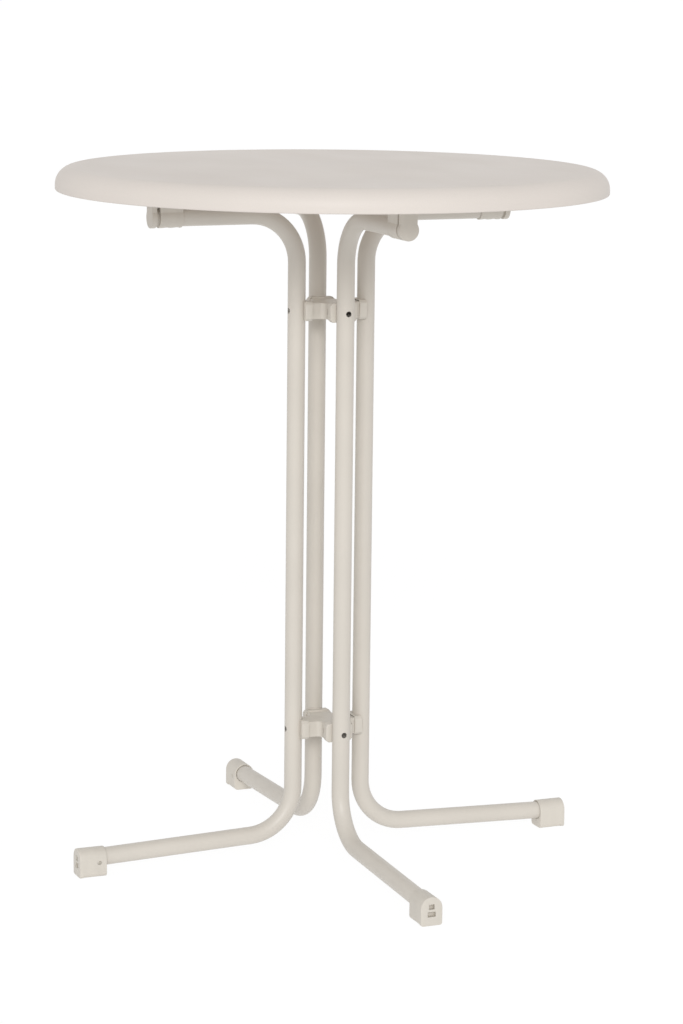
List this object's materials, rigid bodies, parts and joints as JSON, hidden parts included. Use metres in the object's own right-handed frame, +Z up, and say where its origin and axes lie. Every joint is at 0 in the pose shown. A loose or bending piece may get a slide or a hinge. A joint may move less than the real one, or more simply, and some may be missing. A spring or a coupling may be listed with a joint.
{
  "type": "bar table",
  "caption": "Tall round bar table: a moulded top with a rounded edge on a column of bent steel tubes that spread into level arms above and legs with moulded feet below.",
  "frame": {"origin": "on the floor, straight below the middle of the top", "axes": "+Z up; +X along the right leg, +Y along the rear leg"},
  "size_m": [0.86, 0.86, 1.1],
  "materials": {
    "moulded_top": "smooth satin coating",
    "coated_tube": "satin powder coat",
    "moulded_plastic": "fine matte grain",
    "zinc_steel": "zinc plated",
    "brass_insert": "turned"
  },
  "bodies": {
    "root": {"table_top": "moulded_top", "top_inserts": "brass_insert", "column_tube_right": "coated_tube", "column_tube_rear": "coated_tube", "column_tube_left": "coated_tube", "column_tube_front": "coated_tube", "upper_hub": "moulded_plastic", "lower_hub": "moulded_plastic", "upper_hub_bolts": "zinc_steel", "lower_hub_bolts": "zinc_steel", "upper_hub_nuts": "zinc_steel", "lower_hub_nuts": "zinc_steel", "top_holder_right": "moulded_plastic", "top_holder_rear": "moulded_plastic", "top_holder_left": "moulded_plastic", "top_holder_front": "moulded_plastic", "holder_bolts": "zinc_steel", "foot_cap_right": "moulded_plastic", "foot_cap_rear": "moulded_plastic", "foot_cap_left": "moulded_plastic", "foot_cap_front": "moulded_plastic", "foot_cap_screws": "zinc_steel"}
  },
  "joints": []
}
